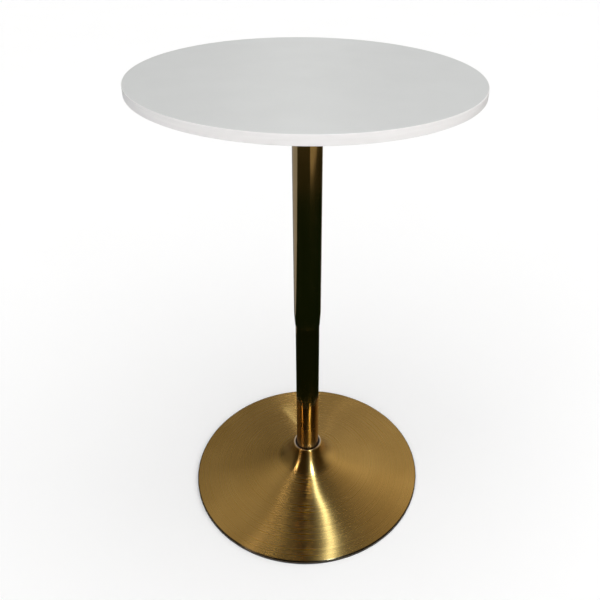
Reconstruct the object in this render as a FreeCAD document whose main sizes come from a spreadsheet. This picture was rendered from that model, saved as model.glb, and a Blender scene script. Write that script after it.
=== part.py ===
import FreeCAD, Part
import math
import os
import re
import Sketcher

# A round bar table on a gas lift. A white board sits on a pressed steel box, whose tapered socket holds
# the lift's pressure cylinder. A gold sleeve hangs from the box and slides down over the lift's gold
# column, which seats in the tapered hub of a spun trumpet base. The top turns on a ball race at the
# foot of the column, and a lever under the board opens the lift's valve.
# Millimetres, +Z up. The origin is on the floor, in the middle of the base. +X is the lever's side.

doc = FreeCAD.newDocument("bar_table")
sheet = doc.addObject("Spreadsheet::Sheet", "sizes")
cells = []
pieces = []


def store(entries):
    """Write cells into the sheet: a plain number, or a formula of cells stored before it."""
    for word, entry in entries.items():
        cells.append(word)
        row = len(cells)
        sheet.set(f"A{row}", word)
        sheet.set(f"B{row}", f"={entry}" if isinstance(entry, str) else str(entry))
        sheet.setAlias(f"B{row}", word)
    sheet.recompute()


def bound(formula):
    """A formula of cell names, as an expression that any object of the document can hold."""
    return re.sub(r"[a-z]\w*", lambda word: "sizes." * (word[0] in cells) + word[0], formula)


def value(formula):
    return float(sheet.evalExpression(bound(formula)))


def bind(feature, place, formula):
    """Tie one property or constraint of a feature to the sheet."""
    if re.search(r"[a-z]", formula):
        feature.setExpression(place, bound(formula))


def new_piece(name):
    """An empty body for one node. A node of like fasteners may hold several solids."""
    piece = doc.addObject("PartDesign::Body", name)
    piece.Label = name
    piece.AllowCompound = True
    pieces.append(piece)
    return piece


def origin_part(piece, role):
    return next(part for part in piece.Origin.OriginFeatures if part.Role == role)


def new_sketch(piece, role, away="0"):
    """A sketch on one of the body's own planes, or away from it along the plane's normal."""
    sketch = piece.newObject("Sketcher::SketchObject", piece.Label + "_sketch")
    sketch.AttachmentSupport = (origin_part(piece, role), [""])
    sketch.MapMode = "FlatFace"
    sketch.AttachmentOffset.Base = FreeCAD.Vector(0, 0, value(away))
    bind(sketch, "AttachmentOffset.Base.z", away)
    return sketch


def hold(sketch, kind, where, formula):
    """Add one dimension to a sketch and tie it to the sheet."""
    index = sketch.addConstraint(Sketcher.Constraint(kind, *where, value(formula)))
    bind(sketch, f"Constraints[{index}]", formula)


def arc_between(start, end, radius):
    """The short arc from start to end. A negative radius bends it the other way round."""
    chord = end - start
    middle = (start + end) * 0.5
    rise = math.sqrt(max(radius * radius - chord.Length ** 2 / 4, 0))
    left = FreeCAD.Vector(-chord.y, chord.x, 0).normalize()
    centre = middle + left * math.copysign(rise, radius)
    first, last = (start, end) if radius > 0 else (end, start)
    angles = [math.atan2(point.y - centre.y, point.x - centre.x) for point in (first, last)]
    return Part.ArcOfCircle(Part.Circle(centre, FreeCAD.Vector(0, 0, 1), abs(radius)), *angles)


def outline(piece, role, corners, away="0", closed=True):
    """A sketch whose corners are pairs of formulas. A third formula makes the side that starts at
    that corner an arc of that radius, turning left where it is positive and right where negative."""
    sketch = new_sketch(piece, role, away)
    points = [FreeCAD.Vector(value(corner[0]), value(corner[1]), 0) for corner in corners]
    sides = len(corners) if closed else len(corners) - 1
    ends = []
    for side in range(sides):
        start, end = points[side], points[(side + 1) % len(points)]
        if len(corners[side]) == 3:
            radius = value(corners[side][2])
            sketch.addGeometry(arc_between(start, end, radius))
            ends.append((1, 2) if radius > 0 else (2, 1))
        else:
            sketch.addGeometry(Part.LineSegment(start, end))
            ends.append((1, 2))
    for side in range(sides):
        if closed or side + 1 < sides:
            after = (side + 1) % sides
            meeting = (side, ends[side][1], after, ends[after][0])
            sketch.addConstraint(Sketcher.Constraint("Coincident", *meeting))
        hold(sketch, "DistanceX", (-1, 1, side, ends[side][0]), corners[side][0])
        hold(sketch, "DistanceY", (-1, 1, side, ends[side][0]), corners[side][1])
        if len(corners[side]) == 3:
            radius = corners[side][2]
            hold(sketch, "Radius", (side,), radius[1:] if radius.startswith("-") else radius)
    if not closed:
        hold(sketch, "DistanceX", (-1, 1, sides - 1, ends[-1][1]), corners[-1][0])
        hold(sketch, "DistanceY", (-1, 1, sides - 1, ends[-1][1]), corners[-1][1])
    return sketch


def circle(piece, role, radius, across="0", along="0", away="0"):
    """A sketch of one circle, with its centre at two formulas."""
    sketch = new_sketch(piece, role, away)
    middle = FreeCAD.Vector(value(across), value(along), 0)
    sketch.addGeometry(Part.Circle(middle, FreeCAD.Vector(0, 0, 1), value(radius)))
    hold(sketch, "DistanceX", (-1, 1, 0, 3), across)
    hold(sketch, "DistanceY", (-1, 1, 0, 3), along)
    hold(sketch, "Radius", (0,), radius)
    return sketch


def rounded(half_x, half_y, corner):
    """The corners of a rectangle with round corners, for outline()."""
    x, y = f"({half_x})", f"({half_y})"
    return [
        (f"-{x} + {corner}", f"-{y}"), (f"{x} - {corner}", f"-{y}", corner),
        (x, f"-{y} + {corner}"), (x, f"{y} - {corner}", corner),
        (f"{x} - {corner}", y), (f"-{x} + {corner}", y, corner),
        (f"-{x}", f"{y} - {corner}"), (f"-{x}", f"-{y} + {corner}", corner),
    ]


def turn(piece, sketch):
    """Turn a profile once round its own upright axis."""
    turned = piece.newObject("PartDesign::Revolution", piece.Label + "_turn")
    turned.Profile = sketch
    turned.ReferenceAxis = (sketch, ["V_Axis"])
    turned.Angle = 360
    return turned


def turned_piece(name, corners):
    """A piece turned about the table's axis, from corners of (radius, height)."""
    piece = new_piece(name)
    turn(piece, outline(piece, "XZ_Plane", corners))
    return piece


def ring_corners(inner, outer, low, high):
    return [(inner, low), (outer, low), (outer, high), (inner, high)]


def pad(piece, sketch, length, both_ways=False, taper="0", down=False):
    """Grow a sketch into a solid, upwards or down, or half to each side of its plane."""
    grown = piece.newObject("PartDesign::Pad", piece.Label + "_pad")
    grown.Profile = sketch
    grown.Midplane = both_ways
    grown.Reversed = down
    grown.Length = value(length)
    bind(grown, "Length", length)
    grown.TaperAngle = value(taper)
    bind(grown, "TaperAngle", taper)
    return grown


def pocket(piece, sketch, length, both_ways=False, taper="0", up=False):
    """Cut a sketch out of the solid, downwards or up, or half to each side of its plane."""
    cut = piece.newObject("PartDesign::Pocket", piece.Label + "_pocket")
    cut.Profile = sketch
    cut.Midplane = both_ways
    cut.Reversed = up
    cut.Length = value(length)
    bind(cut, "Length", length)
    cut.TaperAngle = value(taper)
    bind(cut, "TaperAngle", taper)
    return cut


def repeat_round(piece, features, count):
    """Repeat some features evenly round the table's axis."""
    doc.recompute()
    pattern = piece.newObject("PartDesign::PolarPattern", piece.Label + "_pattern")
    pattern.Originals = features
    pattern.Axis = (origin_part(piece, "Z_Axis"), [""])
    pattern.Angle = 360
    pattern.Occurrences = count
    piece.Tip = pattern


def round_edges(piece, feature, radius, wanted):
    """Round those edges of a feature whose centre the test picks."""
    doc.recompute()
    names = [f"Edge{number}" for number, edge in enumerate(feature.Shape.Edges, 1) if wanted(edge)]
    fillet = piece.newObject("PartDesign::Fillet", piece.Label + "_fillet")
    fillet.Base = (feature, names)
    fillet.Radius = value(radius)
    bind(fillet, "Radius", radius)
    piece.Tip = fillet


# The driving dimensions, group by group. Everything else is worked out from them below.
# Clearances: a running fit turns or slides, a slip fit is pushed together once, and a seat is the
# gap between pieces that rest on each other.
fit_sizes = {
    "running_fit": 0.06,
    "slip_fit": 0.03,
    "seat_gap": 0.2,
}
# The gas lift: its outer column, the pressure cylinder in it, and the travel between them.
lift_sizes = {
    "stroke": 220,
    "top_room": 14,
    "column_radius": 25,
    "column_wall": 1.5,
    "column_foot": 8.5,
    "foot_taper": 1.8,
    "taper_start": 74,
    "cylinder_radius": 14,
    "cylinder_wall": 1.5,
    "head_taper": 0.9,
    "head_rise": 1.5,
    "head_wall": 2.5,
    "crimp_lap": 3,
    "bush_length": 80,
    "bush_flange": 3,
    "plug_length": 30,
    "piston_length": 18,
    "seal_radius": 1.3,
    "rod_radius": 5,
    "rod_step": 1,
    "rod_tip": 1.6,
    "groove_step": 0.8,
    "clip_thickness": 1.2,
    "clip_width": 4.8,
    "clip_mouth": 5,
    "damper_height": 25,
    "damper_wall": 8.5,
    "damper_waist": 1.5,
    "pin_radius": 2.5,
    "pin_stand": 5.5,
    "pin_round": 1.2,
    "pin_head_lap": 1.5,
    "pin_head_height": 1.6,
    "valve_length": 26,
}
# The thrust race at the foot of the column.
race_sizes = {
    "floor_low": 12,
    "floor_thickness": 4,
    "race_gap": 0.6,
    "race_width": 7.4,
    "race_thickness": 1.6,
    "race_rim": 1.2,
    "ball_radius": 2,
    "ball_gap": 0.04,
    "cage_thickness": 2.4,
    "window_gap": 0.1,
}
# The base: hub, ribs, spun trumpet, rubber ring and weight plate. The neck's and the flare's bends
# are the radii of the trumpet's profile, and the neck's angle is its fall just under the lip.
base_sizes = {
    "base_radius": 262,
    "sheet_wall": 1.2,
    "neck_height": 88,
    "neck_fall": 8,
    "neck_room": 3.9,
    "neck_angle": 80,
    "neck_bend": 48,
    "lip_bend": 2,
    "lip_edge": 1,
    "flare_bend": 1435,
    "rim_roll": 2.5,
    "rim_skirt": 1.2,
    "rim_edge": 4.5,
    "ring_wall": 6,
    "ring_shelf": 8,
    "ring_sole": 2.2,
    "ring_height": 6.4,
    "weight_thickness": 4.2,
    "weight_lap": 3,
    "hub_wall": 6,
    "mouth_gap": 2.6,
    "lead_in": 9,
    "rib_thickness": 3,
    "rib_reach": 46,
    "rib_height": 42,
    "rib_toe": 5,
}
# The board, and the screws that go into it.
board_sizes = {
    "table_height": 945,
    "board_radius": 300,
    "board_thickness": 16,
    "laminate": 0.8,
    "band_thickness": 1,
    "arris": 0.8,
    "screw_radius": 3,
    "screw_length": 12,
    "screw_clearance": 0.4,
    "screw_head_lap": 2.4,
    "screw_head_height": 3.4,
    "driver_across": 2,
    "driver_depth": 1.8,
    "washer_lap": 3,
    "washer_height": 1.4,
    "insert_wall": 1.6,
    "insert_length": 12,
}
# The pressed box under the board and the taper socket in its floor.
box_sizes = {
    "flange_half": 95,
    "flange_corner": 18,
    "screw_edge": 20,
    "dish_room": 15,
    "dish_corner": 16,
    "dish_depth": 29.5,
    "dish_lean_angle": 12,
    "dish_bend": 5,
    "plate_wall": 2.5,
    "socket_wall": 5,
    "socket_drop": 33,
    "socket_rise": 2,
}
# The sleeve under the box, whose lower end is drawn in to close on the column.
sleeve_sizes = {
    "sleeve_length": 467,
    "sleeve_wall": 1.2,
    "guide_wall": 1.6,
    "guide_length": 30,
    "guide_step": 2,
    "lip_gap": 0.25,
    "lip_wall": 0.6,
    "drawn_cone": 22,
    "shoulder_turn": 14,
}
# The lever, its pivot and its grip.
lever_sizes = {
    "lever_radius": 4,
    "lever_tip": 5,
    "boss_wall": 3,
    "boss_half": 5.4,
    "pivot_place": 30,
    "pivot_radius": 2.5,
    "rivet_lap": 1.5,
    "rivet_height": 1.2,
    "ear_wall": 2,
    "ear_width": 14,
    "ear_head": 6,
    "bend_room": 18,
    "lever_bend": 12,
    "lever_angle": 25,
    "lever_drop": 14,
    "grip_room": 37,
    "grip_length": 58,
    "grip_depth": 50,
    "grip_wall": 4,
    "grip_round": 3,
    "slot_side": 2,
    "slot_under": 1.6,
    "slot_over": 4.6,
}
rib_count = 6
ball_count = 10
screw_count = 4

for group in (fit_sizes, lift_sizes, race_sizes, base_sizes,
              board_sizes, box_sizes, sleeve_sizes, lever_sizes):
    store(group)

# The places and sizes that follow from them, each one after those that it needs.
store({
    # Under the board.
    "board_low": "table_height - board_thickness",
    "core_low": "board_low + laminate",
    "core_top": "table_height - laminate",
    "core_radius": "board_radius - band_thickness",
    "flange_low": "board_low - plate_wall",
    "dish_low": "flange_low - dish_depth",
    "dish_floor": "dish_low + plate_wall",
    "screw_place": "flange_half - screw_edge",
    "dish_half": "screw_place - dish_room",
    "insert_radius": "screw_radius + insert_wall",
    "washer_low": "flange_low - washer_height",
    "socket_radius": "cylinder_radius + socket_wall",
    "socket_low": "dish_low - socket_drop",
    "socket_top": "dish_floor + socket_rise",
    # The column and the hub round its foot.
    "column_top": "socket_low - stroke - top_room",
    "column_bore": "column_radius - column_wall",
    "foot_radius": "column_radius - foot_taper",
    "taper_slope": "foot_taper / (taper_start - column_foot)",
    "hub_radius": "column_radius + hub_wall",
    "hub_mouth": "column_radius + mouth_gap",
    "hub_top": "neck_height - sheet_wall - seat_gap",
    "ring_outside": "base_radius - sheet_wall - seat_gap",
    "weight_radius": "ring_outside - ring_wall - seat_gap",
    "weight_bore": "column_radius - weight_lap",
    "weight_low": "ring_sole + seat_gap / 2",
    "weight_top": "weight_low + weight_thickness",
    "hub_low_bore": "foot_radius - (column_foot - weight_top) * taper_slope + slip_fit",
    # The trumpet's profile. Its three bends are tangent: the flare's centre lies where circles about
    # the centres of the neck's bend and the rim's roll meet.
    "lip_bore": "hub_mouth + lip_edge",
    "neck_radius": "hub_radius + neck_room",
    "bend_height": "neck_height - neck_fall",
    "lip_centre_height": "neck_height - lip_bend",
    "lip_foot_height": "lip_centre_height + lip_bend * cos(neck_angle)",
    "lip_foot_radius": "neck_radius - (lip_foot_height - bend_height) / tan(neck_angle)",
    "lip_centre_radius": "lip_foot_radius - lip_bend * sin(neck_angle)",
    "bend_centre_radius": "neck_radius + neck_bend * sin(neck_angle)",
    "bend_centre_height": "bend_height + neck_bend * cos(neck_angle)",
    "rim_centre_radius": "base_radius - rim_roll",
    "rim_centre_height": "rim_edge + rim_skirt",
    "span_out": "rim_centre_radius - bend_centre_radius",
    "span_up": "rim_centre_height - bend_centre_height",
    "span": "sqrt(span_out * span_out + span_up * span_up)",
    "bend_reach": "flare_bend - neck_bend",
    "rim_reach": "flare_bend + rim_roll",
    "along_span": "(bend_reach * bend_reach - rim_reach * rim_reach + span * span) / (2 * span)",
    "off_span": "sqrt(bend_reach * bend_reach - along_span * along_span)",
    "flare_centre_radius": "bend_centre_radius + (along_span * span_out - off_span * span_up) / span",
    "flare_centre_height": "bend_centre_height + (along_span * span_up + off_span * span_out) / span",
    "bend_out": "(bend_centre_radius - flare_centre_radius) / bend_reach",
    "bend_up": "(bend_centre_height - flare_centre_height) / bend_reach",
    "rim_out": "(rim_centre_radius - flare_centre_radius) / rim_reach",
    "rim_up": "(rim_centre_height - flare_centre_height) / rim_reach",
    "flare_back": "flare_bend + sheet_wall",
    # The race, from the column's floor up to the rod's shoulder.
    "rod_end_radius": "rod_radius - rod_step",
    "floor_top": "floor_low + floor_thickness",
    "floor_radius": "foot_radius - column_wall + (floor_low - column_foot) * taper_slope - slip_fit",
    "race_inside": "rod_radius + race_gap",
    "race_outside": "race_inside + race_width",
    "ball_circle": "(race_inside + race_outside) / 2",
    "lower_race_top": "floor_top + race_thickness",
    "ball_height": "lower_race_top + ball_gap + ball_radius",
    "upper_race_low": "ball_height + ball_radius + ball_gap",
    "upper_race_top": "upper_race_low + race_thickness",
    # The rod and what it carries, up to the piston.
    "groove_radius": "rod_end_radius - groove_step",
    "clip_radius": "groove_radius + clip_width",
    "clip_top": "floor_low - seat_gap",
    "clip_low": "clip_top - clip_thickness",
    "damper_radius": "rod_radius + damper_wall",
    "damper_top": "upper_race_top + damper_height",
    "cylinder_low": "damper_top + seat_gap + stroke",
    "plug_low": "cylinder_low + cylinder_wall",
    "plug_top": "plug_low + plug_length",
    "piston_low": "plug_top + seat_gap",
    "piston_top": "piston_low + piston_length",
    "piston_middle": "(piston_low + piston_top) / 2",
    "chamber_radius": "cylinder_radius - cylinder_wall",
    "piston_radius": "chamber_radius - running_fit",
    "seal_circle": "piston_radius - seal_radius",
    # The cylinder's head, its valve and the bush that it slides in.
    "crimp_radius": "rod_radius + crimp_lap",
    "head_radius": "cylinder_radius - head_taper",
    "cylinder_top": "socket_top + head_rise",
    "head_slope": "head_taper / (cylinder_top - socket_low)",
    "valve_top": "cylinder_top - head_wall",
    "valve_low": "valve_top - valve_length",
    "valve_radius": "head_radius - cylinder_wall - slip_fit",
    "pin_top": "cylinder_top + pin_stand",
    "pin_head_radius": "pin_radius + pin_head_lap",
    "bush_low": "column_top - bush_length",
    "bush_top": "column_top + bush_flange",
    "bush_bore": "cylinder_radius + running_fit",
    # The sleeve: a cone above its lip, and a bend tangent to the straight wall above the cone.
    "sleeve_bore": "column_radius + guide_wall",
    "sleeve_radius": "sleeve_bore + sleeve_wall",
    "sleeve_low": "dish_low - sleeve_length",
    "sleeve_lip": "column_radius + lip_gap",
    "cone_top": "sleeve_low + drawn_cone",
    "shoulder_top": "cone_top + shoulder_turn",
    "guide_low": "shoulder_top + guide_step",
    "shoulder_share": "shoulder_turn / (2 * drawn_cone + shoulder_turn)",
    "drop_outside": "(sleeve_radius - sleeve_lip - lip_wall) * shoulder_share",
    "drop_inside": "(sleeve_bore - sleeve_lip) * shoulder_share",
    "bend_outside": "(shoulder_turn * shoulder_turn / drop_outside + drop_outside) / 2",
    "bend_inside": "(shoulder_turn * shoulder_turn / drop_inside + drop_inside) / 2",
    # The lever's route, over the release pin, out through the box's wall and down to the grip.
    "pivot_height": "pin_top + seat_gap + lever_radius",
    "grip_height": "pivot_height - lever_drop",
    "bend_place": "dish_half + bend_room",
    "grip_place": "flange_half + grip_room",
    "bend_out_run": "lever_bend * sin(lever_angle)",
    "bend_down_run": "lever_bend * (1 - cos(lever_angle))",
    "slope_run": "(lever_drop - 2 * bend_down_run) / tan(lever_angle)",
    "slope_end": "bend_place + bend_out_run + slope_run",
    "boss_radius": "pivot_radius + boss_wall",
    "rivet_radius": "pivot_radius + rivet_lap",
    "ear_inside": "boss_half + seat_gap",
    "ear_outside": "ear_inside + ear_wall",
    "slot_half": "lever_radius + slot_side",
    "slot_low": "pivot_height - lever_radius - slot_under",
    "slot_high": "pivot_height + lever_radius + slot_over",
    "grip_radius": "lever_radius + grip_wall",
})

# The spun trumpet of the base. The sheet falls steeply from a lip that is turned in round the
# column, bends out with the neck's radius, runs to the rim on one long flare and rolls down there.
# The three arcs are tangent: the flare's centre lies where circles about the other two centres meet.
turned_piece("base_trumpet", [
    ("lip_bore", "neck_height - sheet_wall"),
    ("lip_centre_radius", "neck_height - sheet_wall", "-(lip_bend - sheet_wall)"),
    ("lip_foot_radius - sheet_wall * sin(neck_angle)", "lip_foot_height - sheet_wall * cos(neck_angle)"),
    ("neck_radius - sheet_wall * sin(neck_angle)", "bend_height - sheet_wall * cos(neck_angle)",
     "neck_bend + sheet_wall"),
    ("flare_centre_radius + flare_back * bend_out", "flare_centre_height + flare_back * bend_up",
     "flare_back"),
    ("flare_centre_radius + flare_back * rim_out", "flare_centre_height + flare_back * rim_up",
     "-(rim_roll - sheet_wall)"),
    ("base_radius - sheet_wall", "rim_centre_height"),
    ("base_radius - sheet_wall", "rim_edge"),
    ("base_radius", "rim_edge"),
    ("base_radius", "rim_centre_height", "rim_roll"),
    ("flare_centre_radius + flare_bend * rim_out", "flare_centre_height + flare_bend * rim_up",
     "-flare_bend"),
    ("flare_centre_radius + flare_bend * bend_out", "flare_centre_height + flare_bend * bend_up",
     "-neck_bend"),
    ("neck_radius", "bend_height"),
    ("lip_foot_radius", "lip_foot_height", "lip_bend"),
    ("lip_centre_radius", "neck_height"),
    ("lip_bore", "neck_height"),
])

# The rubber ring under the rim. Its outer lip carries the sheet's edge, its wall stands inside the
# rim's skirt and its inner shelf carries the weight plate. The whole table rests on it.
turned_piece("floor_ring", [
    ("ring_outside - ring_wall - ring_shelf", "0"),
    ("base_radius", "0"),
    ("base_radius", "rim_edge - seat_gap"),
    ("ring_outside", "rim_edge - seat_gap"),
    ("ring_outside", "ring_height - ring_sole / 2"),
    ("ring_outside - ring_wall / 2", "ring_height"),
    ("ring_outside - ring_wall", "ring_height"),
    ("ring_outside - ring_wall", "ring_sole"),
    ("ring_outside - ring_wall - ring_shelf", "ring_sole"),
])

# The steel weight plate closes the base from below, open in the middle over the end of the lift.
turned_piece("weight_plate", ring_corners("weight_bore", "weight_radius", "weight_low", "weight_top"))

# The gas lift's outer column: a polished tube whose foot tapers into the hub. The taper holds it.
turned_piece("column_tube", [
    ("foot_radius - column_wall", "column_foot"),
    ("foot_radius", "column_foot"),
    ("column_radius", "taper_start"),
    ("column_radius", "column_top"),
    ("column_bore", "column_top"),
    ("column_bore", "taper_start"),
])

# The hub that the column seats in: a thick steel tube, welded to the weight plate and to six ribs,
# with a lead-in at its mouth, just inside the trumpet's lip.
turned_piece("base_hub", [
    ("hub_low_bore", "weight_top"),
    ("hub_radius", "weight_top"),
    ("hub_radius", "hub_top"),
    ("hub_mouth", "hub_top"),
    ("column_radius + slip_fit", "hub_top - lead_in"),
    ("column_radius + slip_fit", "taper_start"),
])
ribs = new_piece("hub_ribs")
rib = pad(ribs, outline(ribs, "XZ_Plane", [
    ("hub_radius", "weight_top"),
    ("hub_radius + rib_reach", "weight_top"),
    ("hub_radius + rib_reach", "weight_top + rib_toe"),
    ("hub_radius + rib_toe", "weight_top + rib_height"),
    ("hub_radius", "weight_top + rib_height"),
]), "rib_thickness", both_ways=True)
repeat_round(ribs, [rib], rib_count)

# The floor of the column, pressed into its foot, with the thrust race on it: two washers with a ring
# of balls in a cage between them. The rod's shoulder stands on the upper washer, so the top turns.
turned_piece("column_floor", ring_corners(
    "rod_end_radius + running_fit", "floor_radius", "floor_low", "floor_top"))
turned_piece("race_lower", ring_corners("race_inside", "race_outside", "floor_top", "lower_race_top"))
turned_piece("race_upper", ring_corners(
    "rod_end_radius + slip_fit", "race_outside", "upper_race_low", "upper_race_top"))

balls = new_piece("race_balls")
half_ball = outline(balls, "XZ_Plane", [
    ("ball_circle", "ball_height - ball_radius", "ball_radius"),
    ("ball_circle + ball_radius", "ball_height", "ball_radius"),
    ("ball_circle", "ball_height + ball_radius"),
])
ball = turn(balls, half_ball)
ball.ReferenceAxis = (half_ball, ["Edge3"])
repeat_round(balls, [ball], ball_count)

cage = turned_piece("race_cage", ring_corners(
    "race_inside", "race_outside - race_rim",
    "ball_height - cage_thickness / 2", "ball_height + cage_thickness / 2"))
window = pocket(cage, circle(cage, "XY_Plane", "ball_radius + window_gap", "ball_circle",
                             away="ball_height"), "cage_thickness * 2", both_ways=True)
repeat_round(cage, [window], ball_count)

# The piston rod stands on the race by its shoulder. A clip in a groove keeps it in the column floor,
# and a rubber damper round it stops the cylinder at the lowest height.
turned_piece("piston_rod", [
    ("0", "clip_low - rod_tip"),
    ("rod_end_radius", "clip_low - rod_tip"),
    ("rod_end_radius", "clip_low - slip_fit"),
    ("groove_radius", "clip_low - slip_fit"),
    ("groove_radius", "clip_top + slip_fit"),
    ("rod_end_radius", "clip_top + slip_fit"),
    ("rod_end_radius", "upper_race_top"),
    ("rod_radius", "upper_race_top"),
    ("rod_radius", "piston_low"),
    ("rod_end_radius", "piston_low"),
    ("rod_end_radius", "piston_top"),
    ("0", "piston_top"),
])
clip = turned_piece("rod_clip", ring_corners(
    "groove_radius + slip_fit", "clip_radius", "clip_low", "clip_top"))
pocket(clip, outline(clip, "XY_Plane", [
    ("0", "-clip_mouth / 2"),
    ("clip_radius * 2", "-clip_mouth / 2"),
    ("clip_radius * 2", "clip_mouth / 2"),
    ("0", "clip_mouth / 2"),
], away="clip_low"), "clip_thickness * 2", both_ways=True)

turned_piece("rubber_damper", [
    ("rod_radius + slip_fit", "upper_race_top"),
    ("damper_radius", "upper_race_top"),
    ("damper_radius - damper_waist", "(upper_race_top + damper_top) / 2"),
    ("damper_radius", "damper_top"),
    ("rod_radius + slip_fit", "damper_top"),
])

# The piston rides on the rod's upper end inside the pressure cylinder, with one seal in a groove.
turned_piece("piston", [
    ("rod_end_radius + slip_fit", "piston_low"),
    ("piston_radius", "piston_low"),
    ("piston_radius", "piston_middle - seal_radius - slip_fit"),
    ("seal_circle - seal_radius - slip_fit", "piston_middle - seal_radius - slip_fit"),
    ("seal_circle - seal_radius - slip_fit", "piston_middle + seal_radius + slip_fit"),
    ("piston_radius", "piston_middle + seal_radius + slip_fit"),
    ("piston_radius", "piston_top"),
    ("rod_end_radius + slip_fit", "piston_top"),
])
seal = new_piece("piston_seal")
turn(seal, circle(seal, "XZ_Plane", "seal_radius", "seal_circle", "piston_middle"))

# The guide bush: a plastic tube in the mouth of the column, flanged over its end, that the pressure
# cylinder slides in.
turned_piece("guide_bush", [
    ("bush_bore", "bush_low"),
    ("column_bore - slip_fit", "bush_low"),
    ("column_bore - slip_fit", "column_top"),
    ("column_radius", "column_top"),
    ("column_radius", "bush_top"),
    ("bush_bore", "bush_top"),
])

# The board: a round core with a laminate on each face, an edge band with broken corners, and a
# threaded insert in the core for each screw of the box.
core = turned_piece("board_core", ring_corners("0", "core_radius", "core_low", "core_top"))
hole = pocket(core, circle(core, "XY_Plane", "insert_radius + slip_fit", "screw_place", "screw_place",
                           away="core_low"), "insert_length", up=True)
repeat_round(core, [hole], screw_count)

turned_piece("top_laminate", ring_corners("0", "core_radius", "core_top", "table_height"))
under = turned_piece("under_laminate", ring_corners("0", "core_radius", "board_low", "core_low"))
hole = pocket(under, circle(under, "XY_Plane", "insert_radius + slip_fit", "screw_place", "screw_place",
                            away="core_low"), "laminate * 2", both_ways=True)
repeat_round(under, [hole], screw_count)

turned_piece("edge_band", [
    ("core_radius", "board_low"),
    ("board_radius - arris", "board_low", "arris"),
    ("board_radius", "board_low + arris"),
    ("board_radius", "table_height - arris", "arris"),
    ("board_radius - arris", "table_height"),
    ("core_radius", "table_height"),
])

inserts = new_piece("thread_inserts")
barrel = pad(inserts, circle(inserts, "XY_Plane", "insert_radius", "screw_place", "screw_place",
                             away="core_low"), "insert_length - slip_fit")
bore = pocket(inserts, circle(inserts, "XY_Plane", "screw_radius + slip_fit", "screw_place", "screw_place",
                              away="core_low"), "insert_length * 2", up=True)
repeat_round(inserts, [barrel, bore], screw_count)

# The pressed steel box under the board: a flange with the screw holes, and a dish that leans in
# towards its floor, with a hole for the taper socket and a slot in one wall for the lever.
box = new_piece("mount_box")
pad(box, outline(box, "XY_Plane", rounded("flange_half", "flange_half", "flange_corner"),
                 away="flange_low"), "plate_wall")
dish = pad(box, outline(box, "XY_Plane", rounded("dish_half", "dish_half", "dish_corner"),
                        away="flange_low"), "dish_depth", taper="-dish_lean_angle", down=True)
round_edges(box, dish, "dish_bend",
            lambda edge: abs(edge.CenterOfMass.z - value("dish_low")) < value("slip_fit"))
hollow = pocket(box, outline(box, "XY_Plane", rounded(
    "dish_half - plate_wall", "dish_half - plate_wall", "dish_corner - plate_wall"), away="board_low"),
    "dish_depth", taper="-dish_lean_angle")
round_edges(box, hollow, "dish_bend - plate_wall", lambda edge: (
    abs(edge.CenterOfMass.z - value("dish_floor")) < value("slip_fit")
    and edge.BoundBox.ZLength < value("slip_fit")))
pocket(box, circle(box, "XY_Plane", "socket_radius + slip_fit", away="dish_floor"),
       "plate_wall * 2", both_ways=True)
hole = pocket(box, circle(box, "XY_Plane", "screw_radius + screw_clearance", "screw_place", "screw_place",
                          away="flange_low"), "plate_wall * 4", both_ways=True)
repeat_round(box, [hole], screw_count)

# The taper socket, welded into the floor of the box, wedges on the cylinder's tapered head.
turned_piece("taper_socket", [
    ("cylinder_radius + slip_fit", "socket_low"),
    ("socket_radius", "socket_low"),
    ("socket_radius", "socket_top"),
    ("cylinder_radius - head_slope * (socket_top - socket_low) + slip_fit", "socket_top"),
])

# The pressure cylinder, crimped in at its foot over the plug that guides and seals the rod. The
# valve body fills its head, and the release pin stands out of the middle of it.
turned_piece("pressure_cylinder", [
    ("crimp_radius", "cylinder_low"),
    ("cylinder_radius", "cylinder_low"),
    ("cylinder_radius", "socket_low"),
    ("head_radius", "cylinder_top"),
    ("pin_radius + running_fit", "cylinder_top"),
    ("pin_radius + running_fit", "valve_top"),
    ("head_radius - cylinder_wall", "valve_top"),
    ("chamber_radius", "socket_low"),
    ("chamber_radius", "plug_low"),
    ("crimp_radius", "plug_low"),
])
turned_piece("cylinder_plug", ring_corners(
    "rod_radius + running_fit", "chamber_radius - slip_fit", "plug_low", "plug_top"))
turned_piece("valve_body", ring_corners("pin_radius + running_fit", "valve_radius", "valve_low", "valve_top"))
turned_piece("release_pin", [
    ("0", "valve_low - seat_gap - pin_head_height"),
    ("pin_head_radius", "valve_low - seat_gap - pin_head_height"),
    ("pin_head_radius", "valve_low - seat_gap"),
    ("pin_radius", "valve_low - seat_gap"),
    ("pin_radius", "pin_top - pin_round", "pin_round"),
    ("pin_radius - pin_round", "pin_top"),
    ("0", "pin_top"),
])

# The sleeve, welded under the box. Its lower end is drawn in to a thin lip that closes on the column,
# and a plastic ring inside, just above the shoulder, runs on the column.
turned_piece("sleeve", [
    ("sleeve_lip", "sleeve_low"),
    ("sleeve_lip + lip_wall", "sleeve_low"),
    ("sleeve_radius - drop_outside", "cone_top", "bend_outside"),
    ("sleeve_radius", "shoulder_top"),
    ("sleeve_radius", "dish_low"),
    ("sleeve_bore", "dish_low"),
    ("sleeve_bore", "shoulder_top", "-bend_inside"),
    ("sleeve_bore - drop_inside", "cone_top"),
])
turned_piece("sleeve_guide", ring_corners(
    "column_radius + running_fit", "sleeve_bore - slip_fit",
    "guide_low", "guide_low + guide_length"))

# The lever: a bent rod whose inner end lies over the release pin. A short boss across it turns on a
# riveted pin between the ears of a bracket on the box floor, so lifting the grip presses the pin.
pocket(box, outline(box, "YZ_Plane", [
    ("-slot_half", "slot_low"),
    ("slot_half", "slot_low"),
    ("slot_half", "slot_high"),
    ("-slot_half", "slot_high"),
], away="dish_half"), "dish_half", both_ways=True)

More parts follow.
